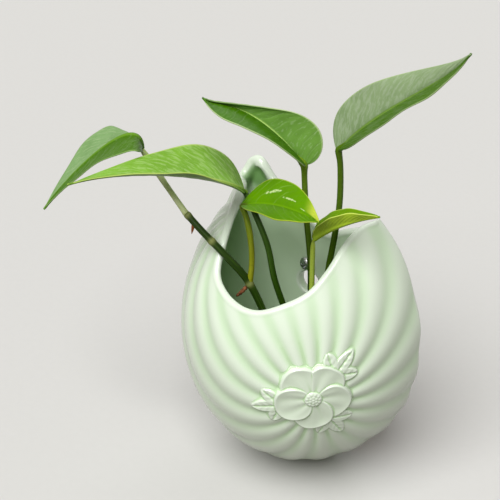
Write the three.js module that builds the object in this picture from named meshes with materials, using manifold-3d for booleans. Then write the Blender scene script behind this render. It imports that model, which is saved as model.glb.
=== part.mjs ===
// A wall-hung ceramic planter: a ribbed half shell with a flower in relief, a keyhole in its flat back,
// the wall screw and plug that carry it, and the leafy cuttings that stand in it.
// Millimetres, Z up. The wall is the plane Y = 0 and the room is on its -Y side.
// The origin is where the screw's axis meets the wall.

import * as THREE from 'three';
import { mergeVertices } from 'three/addons/utils/BufferGeometryUtils.js';
import Module from 'manifold-3d';

const wasm = await Module();
wasm.setup();

// Pot
const POT_WIDTH = 123;
const POT_HEIGHT = 153;
const POT_DEPTH = 70;
const WALL = 5;
const SCREW_ABOVE_MIDDLE = 30.7;
const SCREW_RIGHT_OF_MIDDLE = 0.9;

// Tall lip on the left, drawn up out of the round outline
const PEAK_RISE = 12;
const PEAK_SPREAD = 11.5;
const PEAK_X = -34;
const PEAK_BACK = -3;

// Ribs, which run from the flower over the body to a point above the opening
const RIB_COUNT = 20;
const RIB_RELIEF = 1.8;
const RIB_SUNK_SHARE = 0.6;
const RIB_BIRTH = 9;
const RIB_TOP_X = -16;
const RIB_TOP_Y = -34;
const RIB_CROWDING = THREE.MathUtils.degToRad(20);
const RIB_CROWDED_SIDE = THREE.MathUtils.degToRad(41);
const RIB_TURN = THREE.MathUtils.degToRad(-6);

// Flower and its leaf sprigs, measured on the body's surface
const FLOWER_X = 36;
const FLOWER_Z = -6;
const PETAL_COUNT = 5;
const PETAL_REACH = 9.2;
const PETAL_LENGTH = 18;
const PETAL_WIDTH = 18.5;
const PETAL_HOLLOW = 1.1;
const PETAL_RIM = 2.6;
const PETAL_LAP = 0.35;
const PETAL_TURN = THREE.MathUtils.degToRad(56);
const BOSS_DIAMETER = 7.2;
const BOSS_HEIGHT = 3;
const BOSS_FALL = 0.4;
const SPRIG_TURNS = [58, 186, -48].map(THREE.MathUtils.degToRad);
const SPRIG_REACH = 15.5;
const LEAFLET_LENGTH = 12;
const LEAFLET_WIDTH = 7;
const LEAFLET_RISE = 1.7;
const LEAFLET_FALL = 0.6;
const LEAFLET_POINT = 1.5;
const LEAFLET_SPLAY = THREE.MathUtils.degToRad(52);
const SIDE_LEAFLET_LENGTH = 9;
const RELIEF_ROOT = 2;

// Keyhole, screw and wall plug
const SHANK_DIAMETER = 3.5;
const HEAD_DIAMETER = 7;
const HEAD_HEIGHT = 2.6;
const HEAD_DOME = 2.1;
const HEAD_STANDOFF = 2.2;
const RECESS_SPAN = 3.8;
const RECESS_WIDTH = 0.8;
const RECESS_DEPTH = 1.2;
const SCREW_GRIP = 24;
const SCREW_POINT = 4;
const KEYHOLE_DIAMETER = 12;
const KEYHOLE_DROP = 11.5;
const PLUG_DIAMETER = 6;
const PLUG_LENGTH = 27;
const PLUG_TIP_WALL = 0.4;
const PLUG_SLIT = 1;
const PLUG_SLIT_LENGTH = 19;
const CLEARANCE = 0.3;

// Cuttings
const STEM_DIAMETER = 3.4;
const PETIOLE_DIAMETER = 2.8;
const ROOT_DIAMETER = 1.6;
const BLADE_THICKNESS = 0.9;
const BLADE_CAMBER = 1.2;
const BLADE_SEAT = BLADE_THICKNESS / 2 + CLEARANCE;
const FOLDED_SEAT = BLADE_SEAT + 0.55;
const NODE_SHOOT = STEM_DIAMETER / 2 + PETIOLE_DIAMETER / 3 + 2 * CLEARANCE;
const NODE_ROOT = STEM_DIAMETER / 2 + ROOT_DIAMETER / 3 + CLEARANCE;
const END_SHOOT = 2 * CLEARANCE;

// Facets
const RIB_FACETS = 4;
const RIB_ROWS = 17;
const RIB_ROW_REACH = 0.8;
const CAVITY_FACETS = 40;
const RIM_FACETS = 64;
const RIM_SIDES = 8;
const STEM_SIDES = 7;
const STEM_STEPS = 3;
const ROUND_FACETS = 20;
const DOME_FACETS = 4;
const KEYHOLE_FACETS = 14;
const PETAL_FACETS = [14, 3];
const LEAFLET_FACETS = [12, 2];
const BLADE_ROWS = 10;
const BLADE_COLUMNS = 6;
const BLADE_ROW_CROWDING = 1.3;
const BLADE_ENDS = [0.002, 0.985];

const BACK = new THREE.Vector3(0, 1, 0);
const FAR = 400;

const glaze = new THREE.MeshStandardMaterial({ color: 0xcfe6c4, roughness: 0.12, metalness: 0 });
const steel = new THREE.MeshStandardMaterial({ color: 0x9a9da0, roughness: 0.2, metalness: 1 });
const nylon = new THREE.MeshStandardMaterial({ color: 0xd8d8d2, roughness: 0.5, metalness: 0 });
const leafGreen = new THREE.MeshStandardMaterial({ color: 0x5f9a1e, roughness: 0.32, metalness: 0 });
const stemGreen = new THREE.MeshStandardMaterial({ color: 0x4d6b1f, roughness: 0.45, metalness: 0 });
const rootBrown = new THREE.MeshStandardMaterial({ color: 0x8a4a2a, roughness: 0.7, metalness: 0 });

const vec = (x, y, z) => new THREE.Vector3(x, y, z);

// Solids: a closed three.js geometry becomes a solid that can be joined and cut
function solidOf(geometry) {
  const bare = geometry.clone();
  bare.deleteAttribute('normal');
  bare.deleteAttribute('uv');
  const merged = mergeVertices(bare);
  const vertProperties = new Float32Array(merged.attributes.position.array);
  const triVerts = new Uint32Array(merged.index.array);
  return new wasm.Manifold(new wasm.Mesh({ numProp: 3, vertProperties, triVerts }));
}

function geometryOf(solid) {
  const mesh = solid.getMesh();
  const geometry = new THREE.BufferGeometry();
  geometry.setAttribute('position', new THREE.BufferAttribute(new Float32Array(mesh.vertProperties), 3));
  geometry.setIndex(Array.from(mesh.triVerts));
  geometry.computeVertexNormals();
  return geometry;
}

function geometryFrom(points, triangles) {
  const geometry = new THREE.BufferGeometry();
  geometry.setFromPoints(points);
  geometry.setIndex(triangles.flat());
  geometry.computeVertexNormals();
  return geometry;
}

function named(name, geometry, material) {
  const mesh = new THREE.Mesh(geometry, material);
  mesh.name = name;
  return mesh;
}

// A block that fills the room side of the plane Y = limit
function roomSide(limit) {
  const block = new THREE.BoxGeometry(FAR, FAR, FAR);
  block.translate(0, limit - FAR / 2, 0);
  return solidOf(block);
}

// Pot form: half an ellipsoid on the wall, in a frame with its middle at the ellipsoid's centre
const radii = (inset) => vec(POT_WIDTH / 2 - inset, POT_DEPTH - inset, POT_HEIGHT / 2 - inset);
const outer = radii(0);

function surfaceNormal(point) {
  return point.clone().divide(outer).divide(outer).normalize();
}

function topOf(x, y, inset) {
  const r = radii(inset);
  const height = r.z * Math.sqrt(1 - (x / r.x) ** 2 - (y / r.y) ** 2);
  return vec(x, y, height);
}

const peakFoot = topOf(PEAK_X, PEAK_BACK, 0);

function raisePeak(point) {
  const share = Math.exp(-((point.distanceTo(peakFoot) / PEAK_SPREAD) ** 2));
  return point.clone().add(vec(0, 0, PEAK_RISE * share));
}

// Ribs lie where planes through one slanted axis meet the body. Seen from the axis' upper end they
// are straight rays, so a rib point is worked out in that flat picture and put back on the body.
function frontOf(x, z) {
  const depth = outer.y * Math.sqrt(1 - (x / outer.x) ** 2 - (z / outer.z) ** 2);
  return vec(x, -depth, z);
}

const flowerCentre = frontOf(FLOWER_X, FLOWER_Z);
const pole = topOf(RIB_TOP_X, RIB_TOP_Y, 0).divide(outer).normalize();
const pictureX = BACK.clone().cross(pole).normalize();
const pictureY = pole.clone().cross(pictureX);

function toPicture(point) {
  const q = point.clone().divide(outer).normalize();
  const scale = 1 / (1 - q.dot(pole));
  return new THREE.Vector2(q.dot(pictureX) * scale, q.dot(pictureY) * scale);
}

function fromPicture(at) {
  const square = at.lengthSq();
  const q = pictureX.clone().multiplyScalar(2 * at.x);
  q.addScaledVector(pictureY, 2 * at.y);
  q.addScaledVector(pole, square - 1);
  return q.divideScalar(square + 1).multiply(outer);
}

const ribStart = toPicture(flowerCentre);

function ribbedPoint(turn, reach) {
  const angle = turn + RIB_TURN + RIB_CROWDING * Math.cos(turn - RIB_CROWDED_SIDE);
  const ray = new THREE.Vector2(Math.cos(angle), Math.sin(angle)).multiplyScalar(reach);
  const point = fromPicture(ribStart.clone().add(ray));
  const ridge = Math.abs(Math.sin((RIB_COUNT * turn) / 2));
  const grown = THREE.MathUtils.smoothstep(point.distanceTo(flowerCentre), RIB_BIRTH, 2 * RIB_BIRTH);
  const relief = RIB_RELIEF * grown * (ridge - RIB_SUNK_SHARE);
  return raisePeak(point.addScaledVector(surfaceNormal(point), relief));
}

function ribbedBody() {
  const columns = RIB_COUNT * RIB_FACETS;
  const points = [flowerCentre.clone()];
  for (let row = 1; row < RIB_ROWS; row += 1) {
    const reach = RIB_ROW_REACH * Math.tan((row / RIB_ROWS) * (Math.PI / 2));
    for (let column = 0; column < columns; column += 1) {
      points.push(ribbedPoint((column / columns) * 2 * Math.PI, reach));
    }
  }
  points.push(raisePeak(pole.clone().multiply(outer)));
  const last = points.length - 1;
  const id = (row, column) => 1 + (row - 1) * columns + (column % columns);
  const triangles = [];
  for (let column = 0; column < columns; column += 1) {
    triangles.push([0, id(1, column + 1), id(1, column)]);
    for (let row = 1; row < RIB_ROWS - 1; row += 1) {
      triangles.push([id(row, column), id(row + 1, column + 1), id(row + 1, column)]);
      triangles.push([id(row, column), id(row, column + 1), id(row + 1, column + 1)]);
    }
    triangles.push([last, id(RIB_ROWS - 1, column), id(RIB_ROWS - 1, column + 1)]);
  }
  return solidOf(geometryFrom(points, triangles)).intersect(roomSide(0));
}

function cavity() {
  const ball = new THREE.SphereGeometry(1, CAVITY_FACETS, CAVITY_FACETS / 2);
  const inner = radii(WALL);
  ball.scale(inner.x, inner.y, inner.z);
  const place = ball.attributes.position;
  const point = new THREE.Vector3();
  for (let i = 0; i < place.count; i += 1) {
    const raised = raisePeak(point.fromBufferAttribute(place, i));
    place.setXYZ(i, raised.x, raised.y, raised.z);
  }
  return solidOf(ball).intersect(roomSide(-WALL));
}

// Rim: the opening's edge, along the middle of the wall. The front lip is given in plan and lies on
// the shell, the back lip is given in front view and lies in the flat back. Both are shares of the
// pot's half width, depth and half height, and so is the point that the opening is cut from.
const MOUTH_FOCUS = [0, -0.36, 0.21];
const MOUTH_REACH = 3;
const FRONT_LIP = [
  [-0.495, -0.178], [-0.45, -0.347], [-0.41, -0.452], [-0.348, -0.603], [-0.273, -0.77], [-0.134, -0.846],
  [0.036, -0.874], [0.17, -0.857], [0.304, -0.796], [0.456, -0.667], [0.54, -0.53], [0.568, -0.33],
  [0.578, -0.16],
];
const BACK_LIP = [
  [0.472, 0.745], [0.309, 0.68], [0.146, 0.608], [0, 0.66], [-0.13, 0.732], [-0.25, 0.79], [-0.37, 0.81],
  [-0.495, 0.827], [-0.585, 0.8],
];
const LEFT_TIP = [-0.575, -0.095];
const RIGHT_TIP = [0.577, -0.064];

function rimStations() {
  const shell = ([x, y]) => topOf(x * outer.x, y * outer.y, WALL / 2);
  const flat = ([x, z]) => vec(x * outer.x, -WALL / 2, z * outer.z);
  const front = [LEFT_TIP, ...FRONT_LIP, RIGHT_TIP].map(shell);
  return [...front, ...BACK_LIP.map(flat)].map(raisePeak);
}

const rim = rimStations();
const rimCurve = new THREE.CatmullRomCurve3(rim, true);

function rimBead() {
  return solidOf(new THREE.TubeGeometry(rimCurve, RIM_FACETS, WALL / 2, RIM_SIDES, true));
}

// The opening: a cone of space from a focus inside the pot out through the rim, as far as the flat
// back's inner face, and a slot straight through the flat back above its lip
function mouthCone() {
  const focus = vec(...MOUTH_FOCUS).multiply(outer);
  const points = [focus];
  for (let i = 0; i < RIM_FACETS; i += 1) {
    const way = rimCurve.getPoint(i / RIM_FACETS).sub(focus);
    points.push(focus.clone().addScaledVector(way, MOUTH_REACH));
  }
  points.push(focus.clone().add(vec(0, 0, MOUTH_REACH * POT_HEIGHT)));
  const last = points.length - 1;
  const triangles = [];
  for (let i = 0; i < RIM_FACETS; i += 1) {
    const here = 1 + i;
    const next = 1 + ((i + 1) % RIM_FACETS);
    triangles.push([0, next, here], [last, here, next]);
  }
  return solidOf(geometryFrom(points, triangles)).intersect(roomSide(CLEARANCE - WALL));
}

function mouthSlot() {
  const firstBack = FRONT_LIP.length + 1;
  const steps = RIM_FACETS / 2;
  const outline = [];
  for (let i = 0; i <= steps; i += 1) {
    const station = THREE.MathUtils.lerp(firstBack, rim.length - 1, i / steps);
    const point = rimCurve.getPoint(station / rim.length);
    outline.push(new THREE.Vector2(point.x, point.z));
  }
  outline.push(new THREE.Vector2(outline.at(-1).x, POT_HEIGHT), new THREE.Vector2(outline[0].x, POT_HEIGHT));
  const cut = new THREE.ExtrudeGeometry(new THREE.Shape(outline), { depth: 2 * WALL, bevelEnabled: false });
  cut.rotateX(Math.PI / 2);
  cut.translate(0, WALL - CLEARANCE, 0);
  return solidOf(cut);
}

// Flower: patches of relief laid on the body round the flower's centre
const flowerOut = surfaceNormal(flowerCentre);
const flowerRight = vec(0, 0, 1).cross(flowerOut).normalize();
const flowerUp = flowerOut.clone().cross(flowerRight);

function onBody(right, up, height) {
  const start = flowerCentre.clone();
  start.addScaledVector(flowerRight, right).addScaledVector(flowerUp, up);
  const p = start.clone().divide(outer);
  const d = flowerOut.clone().divide(outer);
  const half = p.dot(d) / d.lengthSq();
  const lift = Math.sqrt(half * half - (p.lengthSq() - 1) / d.lengthSq()) - half;
  return start.addScaledVector(flowerOut, lift + height);
}

function reliefPatch(outline, height, sectors, rings) {
  const [middleRight, middleUp] = outline(0, 0);
  const points = [onBody(middleRight, middleUp, height(0, 0))];
  for (let ring = 1; ring <= rings; ring += 1) {
    for (let sector = 0; sector < sectors; sector += 1) {
      const angle = (sector / sectors) * 2 * Math.PI;
      const [right, up] = outline(ring / rings, angle);
      points.push(onBody(right, up, height(ring / rings, angle)));
    }
  }
  for (let sector = 0; sector < sectors; sector += 1) {
    const [right, up] = outline(1, (sector / sectors) * 2 * Math.PI);
    points.push(onBody(right, up, -RELIEF_ROOT));
  }
  points.push(onBody(middleRight, middleUp, -RELIEF_ROOT));
  const bottom = points.length - 1;
  const id = (ring, sector) => 1 + (ring - 1) * sectors + (sector % sectors);
  const triangles = [];
  for (let sector = 0; sector < sectors; sector += 1) {
    triangles.push([0, id(1, sector), id(1, sector + 1)]);
    for (let ring = 1; ring <= rings; ring += 1) {
      triangles.push([id(ring, sector), id(ring + 1, sector), id(ring + 1, sector + 1)]);
      triangles.push([id(ring, sector), id(ring + 1, sector + 1), id(ring, sector + 1)]);
    }
    triangles.push([bottom, id(rings + 1, sector + 1), id(rings + 1, sector)]);
  }
  return solidOf(geometryFrom(points, triangles));
}

function turned(along, across, turn) {
  const right = along * Math.cos(turn) - across * Math.sin(turn);
  const up = along * Math.sin(turn) + across * Math.cos(turn);
  return [right, up];
}

function petal(turn) {
  const outline = (share, angle) => {
    const along = PETAL_REACH + (share * PETAL_LENGTH * Math.cos(angle)) / 2;
    const across = (share * PETAL_WIDTH * Math.sin(angle)) / 2;
    return turned(along, across, turn);
  };
  const height = (share, angle) => {
    const cupped = PETAL_HOLLOW + (PETAL_RIM - PETAL_HOLLOW) * share * share;
    return cupped * (1 + PETAL_LAP * share * Math.sin(angle));
  };
  return reliefPatch(outline, height, ...PETAL_FACETS);
}

function boss() {
  const outline = (share, angle) => turned((share * BOSS_DIAMETER) / 2, 0, angle);
  const height = (share) => BOSS_HEIGHT * (1 - BOSS_FALL * share * share);
  return reliefPatch(outline, height, ...LEAFLET_FACETS);
}

function leaflet(baseRight, baseUp, turn, length) {
  const outline = (share, angle) => {
    const along = (length / 2) * (1 + share * Math.cos(angle));
    const pointed = Math.sign(Math.sin(angle)) * Math.abs(Math.sin(angle)) ** LEAFLET_POINT;
    const across = (LEAFLET_WIDTH / 2) * share * pointed;
    const [right, up] = turned(along, across, turn);
    return [baseRight + right, baseUp + up];
  };
  const height = (share) => LEAFLET_RISE * (1 - LEAFLET_FALL * share);
  return reliefPatch(outline, height, ...LEAFLET_FACETS);
}

function sprig(turn) {
  const [right, up] = turned(SPRIG_REACH, 0, turn);
  const middle = leaflet(right, up, turn, LEAFLET_LENGTH);
  const side = (splay) => leaflet(right, up, turn + splay, SIDE_LEAFLET_LENGTH);
  return [side(-LEAFLET_SPLAY), middle, side(LEAFLET_SPLAY)];
}

function flower() {
  const step = (2 * Math.PI) / PETAL_COUNT;
  const petals = Array.from({ length: PETAL_COUNT }, (_, i) => petal(PETAL_TURN + i * step));
  return [...petals, boss(), ...SPRIG_TURNS.flatMap(sprig)];
}

// Keyhole: a round hole that passes the screw's head, and a slot above it that hangs on the shank
function keyhole() {
  const slot = SHANK_DIAMETER / 2 + CLEARANCE;
  const round = KEYHOLE_DIAMETER / 2;
  const meet = Math.asin(slot / round);
  const outline = new THREE.Shape();
  outline.absarc(0, 0, slot, 0, Math.PI, false);
  outline.absarc(0, -KEYHOLE_DROP, round, Math.PI / 2 + meet, Math.PI * 2.5 - meet, false);
  outline.closePath();
  const through = { depth: 3 * WALL, bevelEnabled: false, curveSegments: KEYHOLE_FACETS };
  const cut = new THREE.ExtrudeGeometry(outline, through);
  cut.rotateX(Math.PI / 2);
  cut.translate(SCREW_RIGHT_OF_MIDDLE, WALL, SCREW_ABOVE_MIDDLE);
  return solidOf(cut);
}

function planterShell() {
  const bowl = ribbedBody().subtract(cavity()).subtract(mouthCone()).subtract(mouthSlot());
  const shell = bowl.add(rimBead().intersect(roomSide(0)));
  const dressed = flower().reduce((body, patch) => body.add(patch), shell);
  return dressed.subtract(keyhole());
}

// Screw and plug, turned about the screw's axis
function lathe(profile) {
  return new THREE.LatheGeometry(profile.map(([r, y]) => new THREE.Vector2(r, y)), ROUND_FACETS);
}

function wallScrew() {
  const shank = SHANK_DIAMETER / 2;
  const head = HEAD_DIAMETER / 2;
  const seat = -WALL - HEAD_STANDOFF;
  const top = seat - HEAD_HEIGHT;
  const dome = [];
  for (let facet = 0; facet <= DOME_FACETS; facet += 1) {
    const angle = (facet / DOME_FACETS) * (Math.PI / 2);
    dome.push([head * Math.sin(angle), top + HEAD_DOME * (1 - Math.cos(angle))]);
  }
  const point = [[shank, SCREW_GRIP - SCREW_POINT], [0, SCREW_GRIP]];
  const profile = [...dome, [head, seat], [shank, seat], ...point];
  const bar = new THREE.BoxGeometry(RECESS_SPAN, 2 * RECESS_DEPTH, RECESS_WIDTH);
  bar.translate(0, top, 0);
  const crossed = bar.clone().rotateY(Math.PI / 2);
  return solidOf(lathe(profile)).subtract(solidOf(bar)).subtract(solidOf(crossed));
}

function wallPlug() {
  const bore = SHANK_DIAMETER / 2 + CLEARANCE;
  const skin = PLUG_DIAMETER / 2;
  const front = CLEARANCE;
  const end = front + PLUG_LENGTH;
  const tip = bore + PLUG_TIP_WALL;
  const outside = [[skin, front], [skin, end - SCREW_POINT], [tip, end]];
  const profile = [[bore, front], ...outside, [bore, end], [bore, front]];
  const slit = new THREE.BoxGeometry(2 * PLUG_DIAMETER, PLUG_SLIT_LENGTH, PLUG_SLIT);
  slit.translate(0, end - PLUG_SLIT_LENGTH / 2 + CLEARANCE, 0);
  return solidOf(lathe(profile)).subtract(solidOf(slit));
}

// Cuttings: a stem follows points chosen along its run
function stem(points, diameter) {
  const path = new THREE.CatmullRomCurve3(points);
  const section = new THREE.Shape();
  for (let side = 0; side < STEM_SIDES; side += 1) {
    const angle = (side / STEM_SIDES) * 2 * Math.PI;
    const place = [(diameter / 2) * Math.cos(angle), (diameter / 2) * Math.sin(angle)];
    if (side === 0) section.moveTo(...place);
    else section.lineTo(...place);
  }
  section.closePath();
  const steps = STEM_STEPS * (points.length - 1);
  return new THREE.ExtrudeGeometry(section, { steps, bevelEnabled: false, extrudePath: path });
}

// A thin closed sheet between two skins half a thickness to either side of a surface
function sheet(surface, rows, columns, thickness) {
  const grid = [];
  for (let row = 0; row <= rows; row += 1) {
    for (let column = 0; column <= columns; column += 1) {
      grid.push(surface(row / rows, (2 * column) / columns - 1));
    }
  }
  const id = (row, column) => row * (columns + 1) + column;
  const quads = [];
  for (let row = 0; row < rows; row += 1) {
    for (let column = 0; column < columns; column += 1) {
      quads.push([id(row, column), id(row, column + 1), id(row + 1, column + 1), id(row + 1, column)]);
    }
  }
  const normals = grid.map(() => vec(0, 0, 0));
  for (const [a, b, c, d] of quads) {
    const across = grid[c].clone().sub(grid[a]);
    const normal = across.cross(grid[d].clone().sub(grid[b]));
    for (const corner of [a, b, c, d]) normals[corner].add(normal);
  }
  const skin = (side) => grid.map((p, i) => p.clone().addScaledVector(normals[i].clone().normalize(), side));
  const points = [...skin(thickness / 2), ...skin(-thickness / 2)];
  const under = grid.length;
  const triangles = [];
  for (const [a, b, c, d] of quads) {
    triangles.push([a, b, c], [a, c, d]);
    triangles.push([under + a, under + c, under + b], [under + a, under + d, under + c]);
  }
  const border = [];
  for (let column = 0; column < columns; column += 1) border.push(id(0, column));
  for (let row = 0; row < rows; row += 1) border.push(id(row, columns));
  for (let column = columns; column > 0; column -= 1) border.push(id(rows, column));
  for (let row = rows; row > 0; row -= 1) border.push(id(row, 0));
  border.forEach((from, i) => {
    const to = border[(i + 1) % border.length];
    triangles.push([from, under + from, under + to], [from, under + to, to]);
  });
  return geometryFrom(points, triangles);
}

// The cuttings are placed from where the vine lies on the lip, so that they move with the pot
const REST_ON_LIP = [-0.32, -0.695];
const REST_WAY = vec(4.1, -0.65, 1.95);

function vineRest() {
  const lip = topOf(REST_ON_LIP[0] * outer.x, REST_ON_LIP[1] * outer.y, WALL / 2);
  return lip.add(REST_WAY.clone().setLength((WALL + STEM_DIAMETER) / 2 + 2 * CLEARANCE));
}

const rest = vineRest();

// A blade is lofted from its midrib out to both edges. The edge vectors reach from the midrib to the
// blade's widest place on each side, and the outline tapers them to base and tip.
function blade({ midrib, farEdge, nearEdge, widest, roundness }) {
  const spine = new THREE.CubicBezierCurve3(...midrib.map((place) => vec(...place)));
  const fall = (roundness * (1 - widest)) / widest;
  const outline = (s) => (s / widest) ** roundness * ((1 - s) / (1 - widest)) ** fall;
  const normal = vec(...farEdge).cross(vec(...nearEdge)).normalize();
  const surface = (row, across) => {
    const s = THREE.MathUtils.lerp(...BLADE_ENDS, row ** BLADE_ROW_CROWDING);
    const edge = vec(...(across < 0 ? farEdge : nearEdge));
    const share = Math.abs(across);
    const point = spine.getPoint(s).addScaledVector(edge, outline(s) * share);
    return point.addScaledVector(normal, -BLADE_CAMBER * share * (1 - share));
  };
  return sheet(surface, BLADE_ROWS, BLADE_COLUMNS, BLADE_THICKNESS);
}

const LEAVES = {
  leaf_far_left: {
    midrib: [[-46.4, -3.5, 43.6], [-42, -8.2, 68], [-88.2, -12.8, 21.1], [-93.7, -23.6, 6.5]],
    farEdge: [-21.5, 11, -3.8], nearEdge: [13.7, -14, 0.8], widest: 0.26, roundness: 0.55,
  },
  leaf_left: {
    midrib: [[0.6, 13.3, 27.7], [0.3, -7.4, 45.6], [-41.4, -28, 43.4], [-51.4, -48.7, 40.4]],
    farEdge: [-14.6, 14, 8.2], nearEdge: [8.6, -14, 8.7], widest: 0.22, roundness: 0.5,
  },
  leaf_top_middle: {
    midrib: [[24.5, 25.3, 43.5], [-2, 16, 76.2], [-13.7, 6.6, 67.5], [-10.6, -2.7, 75.9]],
    farEdge: [22.8, 14, -1.5], nearEdge: [17.1, -13, -2.6], widest: 0.42, roundness: 0.64,
  },
  leaf_top_right: {
    midrib: [[42, 25.3, 55.1], [66.1, 20, 84], [97, 14.6, 99.1], [108.6, 9.3, 116.6]],
    farEdge: [-13.4, 4, 6.7], nearEdge: [11, -12, 3.7], widest: 0.28, roundness: 0.55,
  },
  leaf_centre: {
    midrib: [[1.9, 8.5, 23.6], [27.7, 3.2, 37.1], [49.4, -2.2, 33.2], [54.3, -7.5, 36.9]],
    farEdge: [-4.4, 11, 7.4], nearEdge: [2.2, -10, -0.8], widest: 0.33, roundness: 0.8,
  },
  leaf_small_right: {
    midrib: [[38.1, 13.3, 15.4], [42.6, 14.6, 24.1], [54.4, 16, 31.3], [69.6, 17.3, 33.8]],
    farEdge: [-3, 6.5, 5.5], nearEdge: [1, -2.5, 5], widest: 0.3, roundness: 0.42,
  },
};

// Each run is listed from below. One that stands in the pot starts on the floor at its foot, one that
// grows from the vine starts just off a point of the vine's run, and one that carries a blade ends
// just under the blade's base.
const STEMS = {
  vine_stem: {
    diameter: STEM_DIAMETER,
    foot: [29.3, 12.5],
    run: [[20.3, 9.5, -43.9], [8.8, 5.3, -13.3], [0, 0, 0], [-12.1, -3, 11.1], [-21.4, -3.5, 18.3]],
  },
  petiole_far_left: {
    diameter: PETIOLE_DIAMETER,
    grows: { at: 4, toward: [-0.5, 0, 0.5], off: END_SHOOT },
    run: [[-34.8, -2.5, 30.2], [-42.3, -2.5, 38.1]],
    blade: 'leaf_far_left',
    seat: FOLDED_SEAT,
  },
  petiole_left: {
    diameter: PETIOLE_DIAMETER,
    foot: [21.6, 24.3],
    run: [[25.6, 14.3, -36.9], [20.8, 7.8, -7.1], [16.6, 8.3, 7.9], [7, 10.8, 21.8]],
    blade: 'leaf_left',
  },
  petiole_centre: {
    diameter: PETIOLE_DIAMETER,
    grows: { at: 1, toward: [1.9, 0.8, 1.6], off: NODE_SHOOT },
    run: [[9.6, 6, -2.2], [8.6, 6.2, 10], [5, 8, 18.6]],
    blade: 'leaf_centre',
    seat: FOLDED_SEAT,
  },
  petiole_top_middle: {
    diameter: PETIOLE_DIAMETER,
    foot: [25.6, 29.3],
    run: [[27.1, 29.3, -26.9], [26.3, 29.3, -4.8], [23.6, 29.3, 16.8], [23.5, 27.3, 35.1]],
    blade: 'leaf_top_middle',
  },
  petiole_small_right: {
    diameter: PETIOLE_DIAMETER,
    foot: [33.6, 21.3],
    run: [[36, 16.3, -11.2], [37.2, 14.3, 10.2]],
    blade: 'leaf_small_right',
  },
  petiole_top_right: {
    diameter: PETIOLE_DIAMETER,
    foot: [35.6, 29.3],
    run: [[34.9, 30.3, -17.4], [38.6, 30.3, 10], [41.2, 29.3, 27.8], [43.3, 26.8, 47.7]],
    blade: 'leaf_top_right',
  },
  aerial_root: {
    diameter: ROOT_DIAMETER,
    grows: { at: 1, toward: [-1, -0.25, -0.9], off: NODE_ROOT },
    run: [[5.2, 4.3, -18.3], [1.8, 4.5, -22]],
  },
};

function stemRun({ diameter, foot, grows, run, blade: carried, seat = BLADE_SEAT }) {
  const points = run.map((place) => vec(...place));
  if (foot) {
    const [x, y] = foot;
    const floor = topOf(rest.x + x, rest.y + y, WALL + diameter / 2 + CLEARANCE);
    points.unshift(vec(x, y, -floor.z - rest.z));
  }
  if (grows) {
    const node = vec(...STEMS.vine_stem.run[grows.at]);
    points.unshift(node.add(vec(...grows.toward).setLength(grows.off)));
  }
  if (carried) {
    const base = vec(...LEAVES[carried].midrib[0]);
    const back = points.at(-1).clone().sub(base).setLength(seat);
    points.push(base.add(back));
  }
  return points;
}

function buildPlanter() {
  const model = new THREE.Group();
  model.add(named('wall_plug', geometryOf(wallPlug()), nylon));
  model.add(named('wall_screw', geometryOf(wallScrew()), steel));
  const pot = new THREE.Group();
  pot.position.set(-SCREW_RIGHT_OF_MIDDLE, 0, -SCREW_ABOVE_MIDDLE);
  pot.add(named('planter_shell', geometryOf(planterShell()), glaze));
  const cuttings = new THREE.Group();
  cuttings.position.copy(rest);
  for (const [name, piece] of Object.entries(STEMS)) {
    const material = name === 'aerial_root' ? rootBrown : stemGreen;
    cuttings.add(named(name, stem(stemRun(piece), piece.diameter), material));
  }
  for (const [name, shape] of Object.entries(LEAVES)) {
    cuttings.add(named(name, blade(shape), leafGreen));
  }
  pot.add(cuttings);
  model.add(pot);
  return model;
}

export default buildPlanter();
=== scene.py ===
"""A wall-hung celadon planter with leafy cuttings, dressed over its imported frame."""

import contextlib
import math

import bmesh
import bpy
import numpy as np
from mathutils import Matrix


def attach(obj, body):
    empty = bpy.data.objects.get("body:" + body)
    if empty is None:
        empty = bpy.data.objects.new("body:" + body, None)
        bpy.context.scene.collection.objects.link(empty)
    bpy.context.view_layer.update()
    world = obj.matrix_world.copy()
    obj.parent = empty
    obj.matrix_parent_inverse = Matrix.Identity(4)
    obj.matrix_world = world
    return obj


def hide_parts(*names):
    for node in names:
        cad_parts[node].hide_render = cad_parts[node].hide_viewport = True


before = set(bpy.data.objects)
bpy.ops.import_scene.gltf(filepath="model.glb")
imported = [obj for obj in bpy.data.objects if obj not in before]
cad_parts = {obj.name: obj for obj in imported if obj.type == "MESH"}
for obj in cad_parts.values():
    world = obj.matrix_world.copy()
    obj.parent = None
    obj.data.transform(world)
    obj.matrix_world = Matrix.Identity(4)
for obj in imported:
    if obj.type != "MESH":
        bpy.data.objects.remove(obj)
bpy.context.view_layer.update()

import openvdb
from mathutils import Matrix, Vector

# Lengths are millimetres in the pot's frame, whose origin is the middle of the body's ellipsoid.
# The wall is the plane Y = 0 and the room is on its -Y side.
MM = 0.001
TO_PART = np.array([-0.9, 0.0, -30.7])
POT = np.array([61.5, 70.0, 76.5])
WALL = 5.0
PEAK_PLAN = (-34.0, -3.0)
PEAK_RISE = 12.0
PEAK_SPREAD = 11.5
PEAK_STEPS = 14
SCREW = np.array([0.9, 0.0, 30.7])


def length(v):
    return np.sqrt((v * v).sum(-1))


def unit(v):
    v = np.asarray(v, float)
    return v / np.linalg.norm(v, axis=-1, keepdims=True)


def smoothstep(x, low, high):
    t = np.clip((x - low) / (high - low), 0, 1)
    return t * t * (3 - 2 * t)


def smooth_max(a, b, blend):
    h = np.clip(0.5 + 0.5 * (a - b) / blend, 0, 1)
    return b + (a - b) * h + blend * h * (1 - h)


def smooth_min(a, b, blend):
    return -smooth_max(-a, -b, blend)


def bell(x):
    return np.exp(-(x * x))


def flattened(way, axis, right, up):
    """Directions laid flat round an axis, as seen from the far side."""
    scale = 1 / np.maximum(1 + way @ axis, 1e-3)
    return np.stack([(way @ right) * scale, (way @ up) * scale], -1)


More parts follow.
